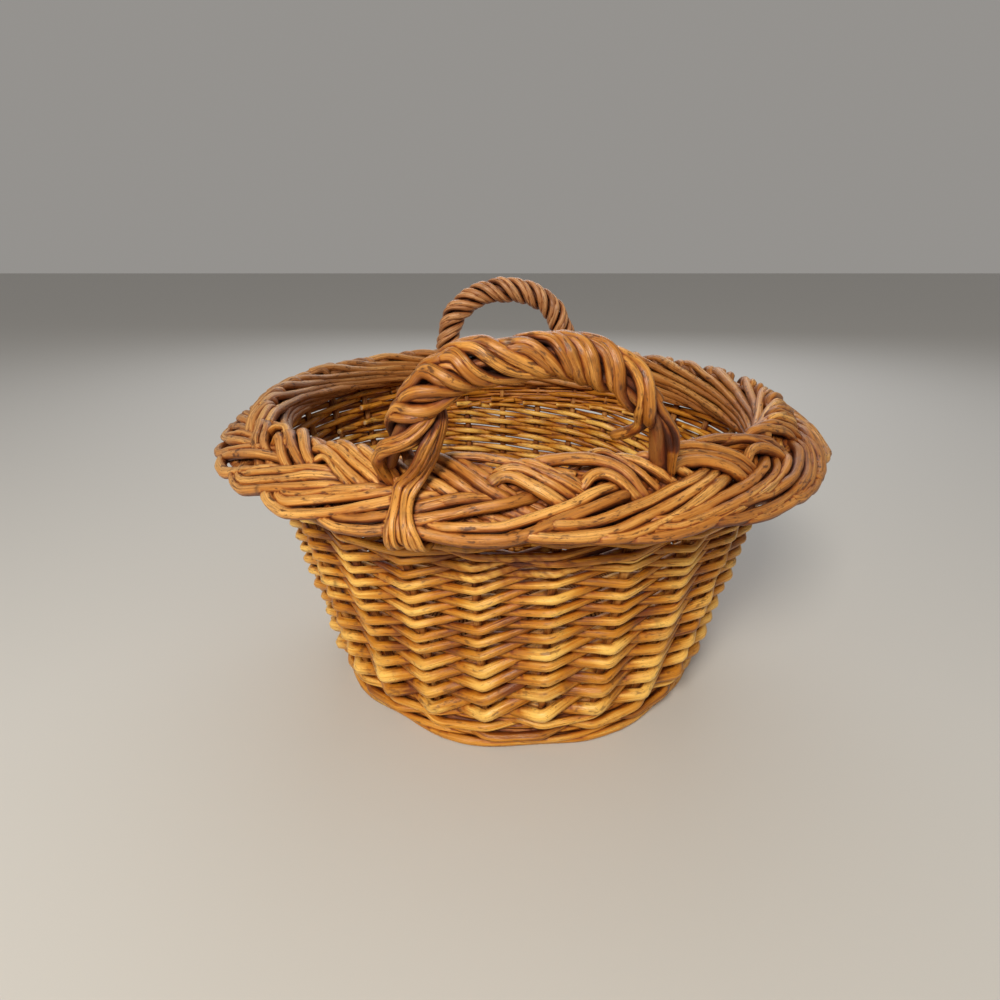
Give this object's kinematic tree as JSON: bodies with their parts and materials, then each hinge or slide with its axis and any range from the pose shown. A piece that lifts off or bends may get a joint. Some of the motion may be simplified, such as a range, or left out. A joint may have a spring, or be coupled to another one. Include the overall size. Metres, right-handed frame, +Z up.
{
  "type": "onion basket",
  "caption": "Round open-sided willow basket with flaring woven wall, plaited border and two rope-twisted handles, for storing onions or potatoes.",
  "frame": {"origin": "on the floor, at the middle of the basket's footprint", "axes": "+Z up out of the mouth; -Y towards the front handle, +Y towards the back handle; +X to the right seen from the front"},
  "size_m": [0.4098, 0.4136, 0.2695],
  "materials": {
    "willow_base": "dry peeled willow, dull",
    "willow_wale": "brown willow, dull satin",
    "willow_stake": "grey-brown willow, dull satin",
    "willow_weave": "thin amber willow, satin",
    "willow_border": "golden tan willow, satin",
    "willow_bow": "dark brown willow, dull",
    "willow_wrap": "reddish tan willow, satin"
  },
  "bodies": {
    "root": {"base_stick_long_1": "willow_base", "base_stick_long_2": "willow_base", "base_stick_long_3": "willow_base", "base_stick_long_4": "willow_base", "base_stick_cross_1": "willow_base", "base_stick_cross_2": "willow_base", "base_stick_cross_3": "willow_base", "base_weave_inner": "willow_base", "base_weave_middle": "willow_base", "base_weave_outer": "willow_base", "foot_wale": "willow_wale", "stake_01": "willow_stake", "stake_02": "willow_stake", "stake_03": "willow_stake", "stake_04": "willow_stake", "stake_05": "willow_stake", "stake_06": "willow_stake", "stake_07": "willow_stake", "stake_08": "willow_stake", "stake_09": "willow_stake", "stake_10": "willow_stake", "stake_11": "willow_stake", "stake_12": "willow_stake", "stake_13": "willow_stake", "stake_14": "willow_stake", "stake_15": "willow_stake", "stake_16": "willow_stake", "stake_17": "willow_stake", "stake_18": "willow_stake", "stake_19": "willow_stake", "stake_20": "willow_stake", "stake_21": "willow_stake", "stake_22": "willow_stake", "stake_23": "willow_stake", "stake_24": "willow_stake", "stake_25": "willow_stake", "stake_26": "willow_stake", "stake_27": "willow_stake", "stake_28": "willow_stake", "upsett_wale_lower": "willow_wale", "upsett_wale_upper": "willow_wale", "side_weave_1": "willow_weave", "side_weave_2": "willow_weave", "side_weave_3": "willow_weave", "side_weave_4": "willow_weave", "side_weave_5": "willow_weave", "side_weave_6": "willow_weave", "side_weave_7": "willow_weave", "side_weave_8": "willow_weave", "top_wale": "willow_wale", "border_strand_1": "willow_border", "border_strand_2": "willow_border", "border_strand_3": "willow_border", "front_handle_bow": "willow_bow", "front_handle_wrap_outer": "willow_wrap", "front_handle_wrap_inner": "willow_wrap", "back_handle_bow": "willow_bow", "back_handle_wrap_outer": "willow_wrap", "back_handle_wrap_inner": "willow_wrap"}
  },
  "joints": []
}
